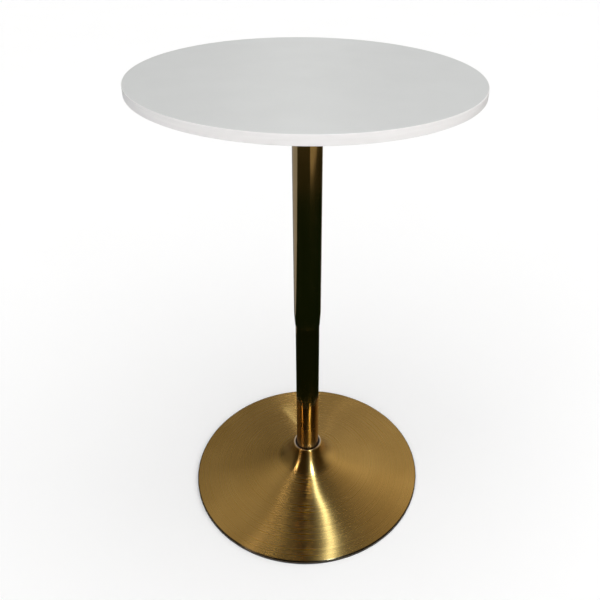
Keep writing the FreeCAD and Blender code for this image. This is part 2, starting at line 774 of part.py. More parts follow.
bracket = new_piece("lever_bracket")
pad(bracket, outline(bracket, "YZ_Plane", [
    ("-ear_outside", "dish_floor"),
    ("ear_outside", "dish_floor"),
    ("ear_outside", "pivot_height + ear_head"),
    ("ear_inside", "pivot_height + ear_head"),
    ("ear_inside", "dish_floor + ear_wall"),
    ("-ear_inside", "dish_floor + ear_wall"),
    ("-ear_inside", "pivot_height + ear_head"),
    ("-ear_outside", "pivot_height + ear_head"),
], away="pivot_place"), "ear_width", both_ways=True)
pocket(bracket, circle(bracket, "XZ_Plane", "pivot_radius + slip_fit", "pivot_place", "pivot_height"),
       "ear_outside * 4", both_ways=True)

pivot = new_piece("pivot_pin")
pad(pivot, circle(pivot, "XZ_Plane", "pivot_radius", "pivot_place", "pivot_height"),
    "(ear_outside + slip_fit) * 2", both_ways=True)
pad(pivot, circle(pivot, "XZ_Plane", "rivet_radius", "pivot_place", "pivot_height",
                  away="ear_outside + slip_fit"), "rivet_height")
pad(pivot, circle(pivot, "XZ_Plane", "rivet_radius", "pivot_place", "pivot_height",
                  away="-(ear_outside + slip_fit)"), "rivet_height", down=True)

lever = new_piece("lever_rod")
route = outline(lever, "XZ_Plane", [
    ("-lever_tip", "pivot_height"),
    ("bend_place", "pivot_height", "-lever_bend"),
    ("bend_place + bend_out_run", "pivot_height - bend_down_run"),
    ("slope_end", "grip_height + bend_down_run", "lever_bend"),
    ("slope_end + bend_out_run", "grip_height"),
    ("grip_place + grip_depth - slip_fit", "grip_height"),
], closed=False)
rod = lever.newObject("PartDesign::AdditivePipe", "lever_rod_pipe")
rod.Profile = circle(lever, "YZ_Plane", "lever_radius", "0", "pivot_height", away="-lever_tip")
rod.Spine = (route, [f"Edge{side}" for side in range(1, route.GeometryCount + 1)])
pad(lever, circle(lever, "XZ_Plane", "boss_radius", "pivot_place", "pivot_height"),
    "boss_half * 2", both_ways=True)
pocket(lever, circle(lever, "XZ_Plane", "pivot_radius + running_fit", "pivot_place", "pivot_height"),
       "boss_half * 4", both_ways=True)

grip = new_piece("lever_grip")
handle = pad(grip, circle(grip, "YZ_Plane", "grip_radius", "0", "grip_height", away="grip_place"),
             "grip_length")
round_edges(grip, handle, "grip_round", lambda edge: edge.BoundBox.XLength < value("slip_fit"))
pocket(grip, circle(grip, "YZ_Plane", "lever_radius + slip_fit", "0", "grip_height",
                    away="grip_place"), "grip_depth", up=True)

# The screws that hold the box to the board, each with a spring washer under its head.
washers = new_piece("spring_washers")
disc = pad(washers, circle(washers, "XY_Plane", "screw_radius + washer_lap", "screw_place", "screw_place",
                           away="washer_low"), "washer_height")
bore = pocket(washers, circle(washers, "XY_Plane", "screw_radius + slip_fit", "screw_place", "screw_place",
                              away="washer_low"), "washer_height * 2", up=True)
repeat_round(washers, [disc, bore], screw_count)

screws = new_piece("mount_screws")
shank = pad(screws, circle(screws, "XY_Plane", "screw_radius", "screw_place", "screw_place",
                           away="washer_low"), "screw_length")
head = pad(screws, circle(screws, "XY_Plane", "screw_radius + screw_head_lap", "screw_place", "screw_place",
                          away="washer_low"), "screw_head_height", down=True)
drive = pocket(screws, outline(screws, "XY_Plane", [
    (f"screw_place + driver_across * cos({turn_angle})", f"screw_place + driver_across * sin({turn_angle})")
    for turn_angle in range(0, 360, 60)
], away="washer_low - screw_head_height"), "driver_depth", up=True)
repeat_round(screws, [shank, head, drive], screw_count)

doc.recompute()
for thing in doc.Objects:
    if "Invalid" in thing.State or "Error" in thing.State:
        raise RuntimeError(f"{thing.Name} did not build: {thing.State}")
for piece in pieces:
    if piece.Shape.isNull() or not piece.Shape.isValid() or not piece.Shape.Solids:
        raise RuntimeError(f"{piece.Label} has no sound solid")

os.makedirs("parts", exist_ok=True)
for piece in pieces:
    piece.Shape.exportStep(f"parts/{piece.Label}.step")
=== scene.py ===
import math

import bmesh
import bpy
from mathutils import Matrix, Vector


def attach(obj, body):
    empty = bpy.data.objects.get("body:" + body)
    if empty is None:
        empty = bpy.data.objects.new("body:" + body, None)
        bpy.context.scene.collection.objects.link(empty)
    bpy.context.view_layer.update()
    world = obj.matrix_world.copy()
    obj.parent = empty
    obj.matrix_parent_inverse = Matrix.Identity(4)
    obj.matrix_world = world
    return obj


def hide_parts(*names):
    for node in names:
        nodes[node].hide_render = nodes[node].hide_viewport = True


# A round bar table on a gas lift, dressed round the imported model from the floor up.
# Metres, +Z up. The origin is on the floor in the middle of the base, and +X is the lever's side.
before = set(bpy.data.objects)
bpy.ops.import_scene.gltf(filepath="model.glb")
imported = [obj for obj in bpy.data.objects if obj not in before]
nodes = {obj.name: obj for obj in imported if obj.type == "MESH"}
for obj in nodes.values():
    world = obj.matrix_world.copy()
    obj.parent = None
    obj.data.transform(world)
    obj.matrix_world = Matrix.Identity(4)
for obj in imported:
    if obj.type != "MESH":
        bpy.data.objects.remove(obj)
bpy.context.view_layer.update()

# Camera. It stands in front of the table and a little to its right, above the top, and looks down.
# It leans a touch to one side, as the photograph does.
camera_data = bpy.data.cameras.new("photo_camera")
camera_data.lens = 38.28
camera_data.shift_x = -0.0540
camera_data.shift_y = -0.0533
camera_data.clip_start = 0.05
camera_data.clip_end = 60
camera = bpy.data.objects.new("photo_camera", camera_data)
bpy.context.scene.collection.objects.link(camera)
camera_place = Vector((0.04947, -1.08355, 1.21963))
camera_down = math.radians(31.075)
camera_lean = math.radians(1.323)
camera.matrix_world = (
    Matrix.Translation(camera_place)
    @ Matrix.Rotation(math.pi / 2 - camera_down, 4, "X")
    @ Matrix.Rotation(camera_lean, 4, "Z")
)
bpy.context.scene.camera = camera


# Floor ring. Black rubber, moulded in one piece and pushed into the rim of the base. Only the edge
# that carries the sheet shows, as a dark line round the foot of the table.
def close_arc(start, end, bend):
    """The centre and the signed angle of the short arc from start to end. It turns left when bend,
    its radius, is positive, and right when it is negative."""
    chord = end - start
    rise = math.sqrt(max(bend * bend - chord.length_squared / 4, 0))
    left = Vector((-chord.y, chord.x)).normalized()
    centre = (start + end) / 2 + left * math.copysign(rise, bend)
    angle = 2 * math.asin(min(chord.length / (2 * abs(bend)), 1))
    return centre, math.copysign(angle, bend)


def finished(name, shape, body, material, *stands_for, sharp=35):
    """Make a bmesh the mesh of a new piece that rides on a body and stands for some CAD nodes."""
    bmesh.ops.remove_doubles(shape, verts=shape.verts, dist=1e-6)
    bmesh.ops.recalc_face_normals(shape, faces=shape.faces)
    for face in shape.faces:
        face.smooth = True
    mesh = bpy.data.meshes.new(name)
    shape.to_mesh(mesh)
    shape.free()
    mesh.set_sharp_from_angle(angle=math.radians(sharp))
    mesh.materials.append(material)
    piece = bpy.data.objects.new(name, mesh)
    bpy.context.scene.collection.objects.link(piece)
    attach(piece, body)
    if stands_for:
        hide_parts(*stands_for)
    return piece


def turned(stations, turns=192):
    """A shape turned round the table's axis. A station is (radius, height), reached by a straight
    line, or (radius, height, bend, steps), reached by an arc. The profile closes on itself, unless
    both of its ends are on the axis."""
    shape = bmesh.new()
    first = shape.verts.new((stations[0][0], 0, stations[0][1]))
    last = first
    for station in stations[1:]:
        if len(station) == 2:
            point = shape.verts.new((station[0], 0, station[1]))
            shape.edges.new((last, point))
            last = point
        else:
            start, end = Vector((last.co.x, last.co.z)), Vector(station[:2])
            centre, angle = close_arc(start, end, station[2])
            swept = bmesh.ops.spin(
                shape, geom=[last], cent=(centre.x, 0, centre.y), axis=(0, -1, 0),
                angle=angle, steps=station[3])
            last = next(part for part in swept["geom_last"] if isinstance(part, bmesh.types.BMVert))
    if first.co.x > 0 or last.co.x > 0:
        shape.edges.new((last, first))
    bmesh.ops.spin(
        shape, geom=list(shape.verts) + list(shape.edges), cent=(0, 0, 0), axis=(0, 0, 1),
        angle=math.tau, steps=turns, use_merge=True)
    return shape


def new_material(name):
    """A material with its principled shader and its object coordinates."""
    material = bpy.data.materials.new(name)
    material.use_nodes = True
    tree = material.node_tree
    shader = tree.nodes["Principled BSDF"]
    place = tree.nodes.new("ShaderNodeTexCoord").outputs["Object"]
    return material, tree, shader, place


def stretched_noise(tree, place, stretch, detail=3.0):
    """Noise on the object's own coordinates, as fine along each axis as stretch says, per metre."""
    mapping = tree.nodes.new("ShaderNodeMapping")
    mapping.inputs["Scale"].default_value = stretch
    tree.links.new(place, mapping.inputs["Vector"])
    noise = tree.nodes.new("ShaderNodeTexNoise")
    noise.inputs["Scale"].default_value = 1
    noise.inputs["Detail"].default_value = detail
    tree.links.new(mapping.outputs["Vector"], noise.inputs["Vector"])
    return noise.outputs["Fac"]


# Noise lies mostly between these two values.
noise_low, noise_high = 0.3, 0.7


def tint(tree, shader, amount, low, high):
    """Colour the shader between two tints."""
    ramp = tree.nodes.new("ShaderNodeValToRGB")
    ramp.color_ramp.elements[0].position = noise_low
    ramp.color_ramp.elements[0].color = (*low, 1)
    ramp.color_ramp.elements[1].position = noise_high
    ramp.color_ramp.elements[1].color = (*high, 1)
    tree.links.new(amount, ramp.inputs["Fac"])
    tree.links.new(ramp.outputs["Color"], shader.inputs["Base Color"])


def ranged(tree, value, start, end, low=0, high=1, smooth=False):
    """Turn a value's run from start to end into a run from low to high, which may be numbers or
    sockets."""
    spread = tree.nodes.new("ShaderNodeMapRange")
    if smooth:
        spread.interpolation_type = "SMOOTHSTEP"
    spread.inputs["From Min"].default_value = start
    spread.inputs["From Max"].default_value = end
    for name, level in (("To Min", low), ("To Max", high)):
        if isinstance(level, bpy.types.NodeSocket):
            tree.links.new(level, spread.inputs[name])
        else:
            spread.inputs[name].default_value = level
    tree.links.new(value, spread.inputs["Value"])
    return spread.outputs["Result"]


def vary_roughness(tree, shader, amount, low, high):
    spread = ranged(tree, amount, noise_low, noise_high, low, high)
    tree.links.new(spread, shader.inputs["Roughness"])


def raise_bump(tree, shader, amount, height):
    bump = tree.nodes.new("ShaderNodeBump")
    bump.inputs["Strength"].default_value = 1
    bump.inputs["Distance"].default_value = height
    tree.links.new(amount, bump.inputs["Height"])
    tree.links.new(bump.outputs["Normal"], shader.inputs["Normal"])


def coated(name, low, high, patches, marks, rough, relief, metallic=0):
    """A surface whose colour drifts between two tints in patches, and whose marks make it more or
    less rough and stand out by the height relief. Both are given as a noise's stretch and detail."""
    material, tree, shader, place = new_material(name)
    tint(tree, shader, stretched_noise(tree, place, *patches), low, high)
    grain = stretched_noise(tree, place, *marks)
    vary_roughness(tree, shader, grain, *rough)
    raise_bump(tree, shader, grain, relief)
    shader.inputs["Metallic"].default_value = metallic
    return material


rubber = coated(
    "black_rubber", (0.012, 0.011, 0.010), (0.022, 0.021, 0.020),
    patches=((40, 40, 40), 3), marks=((2500, 2500, 2500), 5), rough=(0.55, 0.75), relief=0.00008)
rim_radius, ring_bore, ring_sole, ring_top = 0.2620, 0.2466, 0.0022, 0.0064
foot_round, ledge_top, ledge_round = 0.0008, 0.0043, 0.0005
plug_outside, plug_side, plug_nose, plug_inside = 0.2606, 0.0053, 0.2576, 0.2546
ring = finished("floor_ring_rubber", turned([
    (ring_bore, 0), (rim_radius - foot_round, 0), (rim_radius, foot_round, foot_round, 4),
    (rim_radius, ledge_top - ledge_round), (rim_radius - ledge_round, ledge_top, ledge_round, 4),
    (plug_outside, ledge_top), (plug_outside, plug_side), (plug_nose, ring_top),
    (plug_inside, ring_top), (plug_inside, ring_sole), (ring_bore, ring_sole),
]), "base", rubber, "floor_ring")

# Weight plate. A round steel plate, flame cut, rolled flat and painted against rust. It lies on the
# rubber ring's shelf, closes the base from below and has a hole in the middle, under the lift.
black_paint = coated(
    "black_paint", (0.013, 0.013, 0.014), (0.024, 0.024, 0.025),
    patches=((35, 35, 35), 3), marks=((700, 700, 700), 2), rough=(0.38, 0.52), relief=0.00006)
plate_radius, plate_low, plate_top, plate_break = 0.2544, 0.0023, 0.0065, 0.0004
plate_hole = 0.0220
plate = finished("weight_plate_painted", turned([
    (plate_hole, plate_low), (plate_radius - plate_break, plate_low),
    (plate_radius, plate_low + plate_break, plate_break, 3), (plate_radius, plate_top - plate_break),
    (plate_radius - plate_break, plate_top, plate_break, 3), (plate_hole, plate_top),
]), "base", black_paint, "weight_plate")


# Hub and ribs. Thick steel tube turned to the column's taper, with six plates round it, all welded
# to the weight plate and left as they came from the mill.
def metal(name, low, high, stretch, rough, relief):
    """A plain metal whose tool marks run as the stretch of their noise says."""
    return coated(name, low, high, ((45, 45, 45), 4), (stretch, 4), rough, relief, metallic=1)


def dress(material, *names):
    """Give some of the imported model's own nodes their material."""
    for name in names:
        nodes[name].data.materials.clear()
        nodes[name].data.materials.append(material)


raw_steel = metal("raw_steel", (0.20, 0.19, 0.18), (0.33, 0.31, 0.29), (300, 300, 300),
                  (0.45, 0.65), 0.00004)
dress(raw_steel, "base_hub", "hub_ribs", "column_floor")


# Trumpet. One disc of thin steel spun over a former, so fine rings run round it, then plated gold
# and brushed as it turned. It falls from a lip round the column to a rolled rim on the rubber ring.
def rings(tree, reach, fineness, detail):
    """Rings round the axis, this many to the metre."""
    noise = tree.nodes.new("ShaderNodeTexNoise")
    noise.noise_dimensions = "1D"
    noise.inputs["Scale"].default_value = fineness
    noise.inputs["Detail"].default_value = detail
    tree.links.new(reach, noise.inputs["W"])
    return noise.outputs["Fac"]


def mixed(tree, share, first, second):
    """The colour first where the share is 0 and second where it is 1. Each is a tint or a socket."""
    mix = tree.nodes.new("ShaderNodeMix")
    mix.data_type = "RGBA"
    for name, colour in (("A", first), ("B", second)):
        if isinstance(colour, tuple):
            mix.inputs[name].default_value = (*colour, 1)
        else:
            tree.links.new(colour, mix.inputs[name])
    tree.links.new(share, mix.inputs["Factor"])
    return mix.outputs["Result"]


def roughen(tree, shader, more):
    """Add to the roughness that the shader has already."""
    total = tree.nodes.new("ShaderNodeMath")
    tree.links.new(shader.inputs["Roughness"].links[0].from_socket, total.inputs[0])
    tree.links.new(more, total.inputs[1])
    tree.links.new(total.outputs["Value"], shader.inputs["Roughness"])


spun_gold, tree, shader, place = new_material("spun_gold")
flat = tree.nodes.new("ShaderNodeVectorMath")
flat.operation = "MULTIPLY"
flat.inputs[1].default_value = (1, 1, 0)
tree.links.new(place, flat.inputs[0])
length = tree.nodes.new("ShaderNodeVectorMath")
length.operation = "LENGTH"
tree.links.new(flat.outputs["Vector"], length.inputs[0])
reach = length.outputs["Value"]

tint(tree, shader, stretched_noise(tree, place, (11, 11, 11), 2),
     (0.575, 0.335, 0.088), (0.645, 0.385, 0.108))
gold = shader.inputs["Base Color"].links[0].from_socket
# Past the rim's roll the gold is painted dark brown. This is painted shade and a painted dark
# reflection, for the dark line round the foot of the base.
past_rim = ranged(tree, reach, 0.2594, 0.2606)
# Over the flat of the lip the colour is painted pale, a painted highlight for the bright ring round
# the column. The lip isn't brushed either.
past_lip = ranged(tree, reach, 0.0310, 0.0320)
painted_dark_rim = mixed(tree, past_rim, gold, (0.10, 0.07, 0.035))
tree.links.new(mixed(tree, past_lip, (0.85, 0.68, 0.50), painted_dark_rim), shader.inputs["Base Color"])
tree.links.new(past_lip, shader.inputs["Anisotropic"])
vary_roughness(tree, shader, rings(tree, reach, 180, 3), 0.25, 0.28)
roughen(tree, shader, ranged(tree, reach, 0.036, 0.090, 0.03, 0, smooth=True))
raise_bump(tree, shader, rings(tree, reach, 900, 1), 0.000002)
shader.inputs["Metallic"].default_value = 1

# The brush wandered a little across the flare, so its strokes aren't quite round.
wander = tree.nodes.new("ShaderNodeValToRGB")
wander.color_ramp.interpolation = "EASE"
wander.color_ramp.elements[0].position = 0.095
wander.color_ramp.elements[0].color = (0, 0, 0, 1)
wander.color_ramp.elements[1].position = rim_radius
wander.color_ramp.elements[1].color = (0, 0, 0, 1)
wander.color_ramp.elements.new(0.156).color = (1, 1, 1, 1)
wander.color_ramp.elements.new(0.215).color = (0.75, 0.75, 0.75, 1)
tree.links.new(reach, wander.inputs["Fac"])
strokes = ranged(tree, wander.outputs["Color"], 0, 1, 0.25, 0.2365)
tree.links.new(strokes, shader.inputs["Anisotropic Rotation"])
tangent = tree.nodes.new("ShaderNodeTangent")
tangent.direction_type = "RADIAL"
tangent.axis = "Z"
tree.links.new(tangent.outputs["Tangent"], shader.inputs["Tangent"])

lip = [(0.0286, 0.0868), (0.0286, 0.0874), (0.0292, 0.0880, -0.0006, 4), (0.03181, 0.0880)]
neck_outside = [(0.03378, 0.08635, -0.002, 6), (0.03490, 0.0800), (0.07064, 0.04174, 0.048, 28)]
flare_outside = [(0.25977, 0.00819, 1.435, 120)]
rolled_rim = [
    (rim_radius, 0.0057, -0.0025, 8), (rim_radius, 0.0045), (0.2608, 0.0045), (0.2608, 0.0057),
    (0.25964, 0.00699, 0.0013, 6),
]
flare_inside = [(0.07035, 0.04058, -1.4362, 30)]
neck_inside = [(0.03372, 0.0798, -0.0492, 20), (0.03260, 0.0861), (0.03181, 0.0868, 0.0008, 4)]
trumpet = finished(
    "trumpet_sheet",
    turned(lip + neck_outside + flare_outside + rolled_rim + flare_inside + neck_inside, 256),
    "base", spun_gold, "base_trumpet")


# Column. Steel tube, drawn, polished and plated gold, with its tapered foot wedged in the hub. The
# polish leaves faint lines along it, and is less fine near its lower end.
def polished(name, coarse_below, low, high):
    """Gold plate, polished along the tube. It is coarsest below one height and gets finer above."""
    material, tree, shader, place = new_material(name)
    tint(tree, shader, stretched_noise(tree, place, (30, 30, 9), 2), low, high)
    drawn = stretched_noise(tree, place, (900, 900, 14), 4)
    vary_roughness(tree, shader, drawn, 0.11, 0.15)
    raise_bump(tree, shader, drawn, 0.000004)
    shader.inputs["Metallic"].default_value = 1
    upright = tree.nodes.new("ShaderNodeSeparateXYZ")
    tree.links.new(place, upright.inputs["Vector"])
    fades_over = 0.09
    coarse = ranged(tree, upright.outputs["Z"], coarse_below, coarse_below + fades_over, 0.20, 0)
    roughen(tree, shader, coarse)
    return material


column_radius, column_bore, column_break = 0.0250, 0.0235, 0.0005
column_low, taper_top, column_top = 0.0085, 0.0740, 0.6300
foot_bore, foot_radius = 0.0217, 0.0232
column = finished("column_polished", turned([
    (foot_bore, column_low), (foot_radius, column_low), (column_radius, taper_top),
    (column_radius, column_top - column_break),
    (column_radius - column_break, column_top, column_break, 4),
    (column_bore, column_top), (column_bore, taper_top),
], 128), "base", polished("column_gold", 0.12, (0.40, 0.245, 0.085), (0.46, 0.285, 0.105)),
    "column_tube")

# Sleeve. Thinner tube, polished and plated as the column is and welded under the box. Its lower end
# is drawn in on a cone to a rolled lip that closes on the column.
sleeve_radius, sleeve_bore, sleeve_break = 0.0278, 0.0266, 0.0003
lip_bore, cone_bore, cone_radius, cone_bend = 0.02525, 0.02627, 0.02733, 0.2084
sleeve_low, cone_low, cone_top, sleeve_top = 0.4300, 0.4520, 0.4660, 0.8970
sleeve = finished("sleeve_polished", turned([
    (lip_bore, sleeve_low + sleeve_break), (lip_bore + sleeve_break, sleeve_low, sleeve_break, 3),
    (lip_bore + 2 * sleeve_break, sleeve_low + sleeve_break, sleeve_break, 3),
    (cone_radius, cone_low), (sleeve_radius, cone_top, cone_bend, 8),
    (sleeve_radius, sleeve_top), (sleeve_bore, sleeve_top), (sleeve_bore, cone_top),
    (cone_bore, cone_low),
], 128), "lift", polished("sleeve_gold", 0.30, (0.46, 0.32, 0.145), (0.53, 0.37, 0.175)), "sleeve")

# Board. Wood fibre core with a white laminate on its upper face, a dark backing sheet below and a
# white edge band glued round it, its corners broken by a cutter.
# The upper face's white is painted grey as a painted shade, and the edge band's is set brighter as
# painted light. The two whites differ by how the light falls on face and edge.
white_laminate = coated(
    "white_laminate", (0.622, 0.632, 0.624), (0.642, 0.652, 0.644),
    patches=((14, 14, 14), 3), marks=((900, 900, 900), 4), rough=(0.36, 0.46), relief=0.00002)
white_edge = coated(
    "white_edge", (0.79, 0.775, 0.77), (0.83, 0.815, 0.81),
    patches=((20, 20, 200), 3), marks=((60, 60, 4000), 3), rough=(0.30, 0.42), relief=0.00001)
dark_backing = coated(
    "dark_backing", (0.030, 0.029, 0.028), (0.040, 0.039, 0.037),
    patches=((14, 14, 14), 3), marks=((900, 900, 900), 4), rough=(0.5, 0.6), relief=0.00002)
board_radius, board_low, board_top = 0.3000, 0.9290, 0.9450
sheet_radius, sheet_thick, band_inside, corner_break = 0.29895, 0.0008, 0.2990, 0.0008


def board_sheet(name, low, material, node):
    """A round sheet of the board."""
    high = low + sheet_thick
    profile = [(0, low), (sheet_radius, low), (sheet_radius, high), (0, high)]
    return finished(name, turned(profile, 256), "lift", material, node)


top = board_sheet("top_laminate_sheet", board_top - sheet_thick, white_laminate, "top_laminate")
under = board_sheet("under_laminate_sheet", board_low, dark_backing, "under_laminate")
band = finished("edge_band_strip", turned([
    (band_inside, board_low), (board_radius - corner_break, board_low),
    (board_radius, board_low + corner_break, corner_break, 6),
    (board_radius, board_top - corner_break),
    (board_radius - corner_break, board_top, corner_break, 6), (band_inside, board_top),
], 256), "lift", white_edge, "edge_band")

# Core. A round board of pressed wood fibre, which makes up most of the top's thickness. The sheets
# are glued on its faces and the band round its edge, so none of it shows.
board_fibre, tree, shader, place = new_material("board_fibre")
fibres = stretched_noise(tree, place, (700, 700, 2200), 5)
tint(tree, shader, fibres, (0.30, 0.21, 0.12), (0.45, 0.33, 0.20))
vary_roughness(tree, shader, fibres, 0.75, 0.9)
raise_bump(tree, shader, fibres, 0.0001)
dress(board_fibre, "board_core")

# Inserts. Brass, turned on a lathe and tapped. Four are pressed into the core from below, one for
# each screw of the box.
insert_brass = metal("insert_brass", (0.56, 0.40, 0.17), (0.66, 0.48, 0.22), (60, 60, 3000),
                     (0.25, 0.4), 0.00003)
dress(insert_brass, "thread_inserts")

# Box. Steel plate pressed into a square dish with a flange, holed for the socket and slotted for the
# lever, then painted black and screwed up under the board.
box_shape = bmesh.new()
box_lean = math.tan(math.radians(12))
flange_half, flange_corner, flange_low = 0.0950, 0.0180, 0.9265
room_half, room_corner, room_foot, room_floor_corner = 0.0575, 0.0135, 0.9020, 0.0110
dish_half, dish_corner, dish_foot, dish_floor_corner = 0.0600, 0.0160, 0.9010, 0.0120
hole_half, hole_corner, floor_low, floor_top = 0.0190, 0.0189, 0.8970, 0.8995
room_turn, dish_turn = 0.0030, 0.0035
room_end = room_half - (board_low - room_foot) * box_lean
dish_end = dish_half - (flange_low - dish_foot) * box_lean
dish_floor_half = dish_half - dish_turn - (flange_low - floor_low) * box_lean
box_walls = [
    (flange_half, flange_corner, flange_low), (flange_half, flange_corner, board_low),
    (room_half, room_corner, board_low), (room_end, room_corner, room_foot),
    (room_end - room_turn, room_floor_corner, floor_top),
    (hole_half, hole_corner, floor_top), (hole_half, hole_corner, floor_low),
    (dish_floor_half, dish_floor_corner, floor_low), (dish_end, dish_corner, dish_foot),
    (dish_half, dish_corner, flange_low),
]
loops = []
for half, corner, height in box_walls:
    known = set(box_shape.edges)
    made = bmesh.ops.create_grid(box_shape, x_segments=1, y_segments=1, size=half,
                                 matrix=Matrix.Translation((0, 0, height)))
    bmesh.ops.bevel(box_shape, geom=made["verts"], offset=corner, affect="VERTICES",
                    segments=8, profile=0.5, material=-1)
    loops.append([edge for edge in box_shape.edges if edge not in known and edge.is_valid])
bmesh.ops.delete(box_shape, geom=list(box_shape.faces), context="FACES_ONLY")
for inner, outer in zip(loops, loops[1:] + loops[:1]):
    bmesh.ops.bridge_loops(box_shape, edges=inner + outer)
slot_half, slot_low, slot_top, slot_side = 0.006, 0.9071, 0.9213, 0.04
cuts = [((0, 1, 0), -slot_half), ((0, 1, 0), slot_half), ((0, 0, 1), slot_low), ((0, 0, 1), slot_top)]
for way, along in cuts:
    bmesh.ops.bisect_plane(
        box_shape, geom=list(box_shape.verts) + list(box_shape.edges) + list(box_shape.faces),
        plane_co=Vector(way) * along, plane_no=way)
slot_faces = []
for face in box_shape.faces:
    middle = face.calc_center_median()
    if middle.x > slot_side and abs(middle.y) < slot_half and slot_low < middle.z < slot_top:
        slot_faces.append(face)
bmesh.ops.delete(box_shape, geom=slot_faces, context="FACES")
slot_rim = [edge for edge in box_shape.edges if edge.is_boundary]
bmesh.ops.bridge_loops(box_shape, edges=slot_rim)
box = finished("mount_box_pressed", box_shape, "lift", black_paint, "mount_box", sharp=40)

# Socket. Turned steel, with a tapered bore in which the head of the lift wedges. It stands in the
# hole in the box's floor and is welded there.
dress(raw_steel, "taper_socket")


# Screws and washers. Zinc plated steel, one pair in each corner of the flange. Each head has a
# socket for the key. The lever's bracket and its pivot pin are plated in the same way.
def joined(shape, other):
    """Take another bmesh into a shape."""
    part = bpy.data.meshes.new("part")
    other.to_mesh(part)
    other.free()
    shape.from_mesh(part)
    bpy.data.meshes.remove(part)


zinc_steel = metal("zinc_steel", (0.55, 0.56, 0.58), (0.66, 0.67, 0.68), (500, 500, 500),
                   (0.24, 0.38), 0.00002)
screw_place, screw_radius, screw_top = 0.075, 0.0030, 0.9371
head_radius, face_radius, head_bend = 0.0054, 0.0038, 0.0020
head_top, head_side, head_low = 0.9251, 0.9233, 0.9217
key_mouth, key_radius, key_floor, key_point = 0.0022, 0.0021, 0.9235, 0.9237
screws = bmesh.new()
for corner in range(4):
    one = turned([
        (screw_radius, screw_top), (screw_radius, head_top), (head_radius, head_top),
        (head_radius, head_side), (face_radius, head_low, -head_bend, 5), (key_mouth, head_low),
        (key_radius, key_floor), (0, key_point), (0, screw_top),
    ], 48)
    spot = Matrix.Translation((screw_place, screw_place, 0))
    spot = Matrix.Rotation(math.radians(90) * corner, 4, "Z") @ spot
    bmesh.ops.transform(one, matrix=spot, verts=one.verts)
    joined(screws, one)
screw_piece = finished("mount_screws_plated", screws, "lift", zinc_steel, "mount_screws")
dress(zinc_steel, "spring_washers", "lever_bracket", "pivot_pin")


# Lever. Round steel bar, bent twice and plated, with a boss across it for its pivot. Its inner end
# lies over the pin of the lift, and its outer end carries the grip.
def run(shape, edges, way):
    """Carry a ring of edges straight on."""
    grown = bmesh.ops.extrude_edge_only(shape, edges=edges)["geom"]
    points = [part for part in grown if isinstance(part, bmesh.types.BMVert)]
    bmesh.ops.translate(shape, verts=points, vec=way)
    rest = [part for part in grown if isinstance(part, bmesh.types.BMEdge)]
    return [edge for edge in rest if set(edge.verts) <= set(points)]


def bend(shape, edges, centre, angle):
    """Carry a ring of edges on round an arc in the upright plane along X."""
    swept = bmesh.ops.spin(shape, geom=edges, cent=centre, axis=(0, 1, 0), angle=angle, steps=8)
    return [part for part in swept["geom_last"] if isinstance(part, bmesh.types.BMEdge)]


along_x = Matrix.Rotation(math.pi / 2, 4, "Y")
across = Matrix.Rotation(math.pi / 2, 4, "X")
lever_start, first_bend, lever_end, pivot_x = -0.005, 0.078, 0.18197, 0.030
lever_height, grip_height, bar_radius = 0.9127, 0.8987, 0.004
bend_radius, bend_angle = 0.012, math.radians(25)
bend_drop = bend_radius * (1 - math.cos(bend_angle))
slope_run = (lever_height - grip_height - 2 * bend_drop) / math.sin(bend_angle)
slope_x, slope_z = slope_run * math.cos(bend_angle), -slope_run * math.sin(bend_angle)
second_bend = first_bend + 2 * bend_radius * math.sin(bend_angle) + slope_x

lever_shape = bmesh.new()
bmesh.ops.create_circle(
    lever_shape, segments=24, radius=bar_radius, cap_ends=False,
    matrix=Matrix.Translation((lever_start, 0, lever_height)) @ along_x)
tail = list(lever_shape.edges)
bmesh.ops.contextual_create(lever_shape, geom=tail)
tail = run(lever_shape, tail, (first_bend - lever_start, 0, 0))
tail = bend(lever_shape, tail, (first_bend, 0, lever_height - bend_radius), bend_angle)
tail = run(lever_shape, tail, (slope_x, 0, slope_z))
tail = bend(lever_shape, tail, (second_bend, 0, grip_height + bend_radius), -bend_angle)
tail = run(lever_shape, tail, (lever_end - second_bend, 0, 0))
bmesh.ops.contextual_create(lever_shape, geom=tail)
boss_bore, boss_radius, boss_half, boss_break = 0.0027, 0.0055, 0.0054, 0.0004
boss = turned([
    (boss_bore, -boss_half), (boss_radius - boss_break, -boss_half),
    (boss_radius, boss_break - boss_half), (boss_radius, boss_half - boss_break),
    (boss_radius - boss_break, boss_half), (boss_bore, boss_half),
], 48)
bmesh.ops.transform(boss, verts=boss.verts,
                    matrix=Matrix.Translation((pivot_x, 0, lever_height)) @ across)
joined(lever_shape, boss)
lever = finished("lever_rod_bent", lever_shape, "lever", zinc_steel, "lever_rod")

# Grip. Black plastic, moulded with ribs round it for the fingers. It is pushed over the lever's
# outer end.
grip_plastic = coated(
    "grip_plastic", (0.016, 0.016, 0.017), (0.027, 0.027, 0.028),
    patches=((60, 60, 60), 3), marks=((1800, 1800, 1800), 3), rough=(0.42, 0.58), relief=0.00005)
grip_start, grip_radius, groove_radius, grip_length = 0.132, 0.0080, 0.0074, 0.0580
first_rib, rib_pitch, rib_count = 0.0060, 0.0048, 9
grip_profile = [(0, 0), (grip_radius - 0.0015, 0), (grip_radius, 0.0015, 0.0015, 4),
                (grip_radius, first_rib)]
for rib in range(rib_count):
    low = first_rib + rib * rib_pitch
    grip_profile += [(grip_radius, low + 0.0008), (groove_radius, low + 0.0016),
                     (groove_radius, low + 0.0032), (grip_radius, low + 0.0040)]
grip_profile += [(grip_radius, grip_length - 0.0030),
                 (grip_radius - 0.0030, grip_length, 0.0030, 6), (0, grip_length)]
grip_shape = turned(grip_profile, 48)
bmesh.ops.transform(grip_shape, verts=grip_shape.verts,
                    matrix=Matrix.Translation((grip_start, 0, grip_height)) @ along_x)
grip = finished("lever_grip_ribbed", grip_shape, "lever", grip_plastic, "lever_grip")

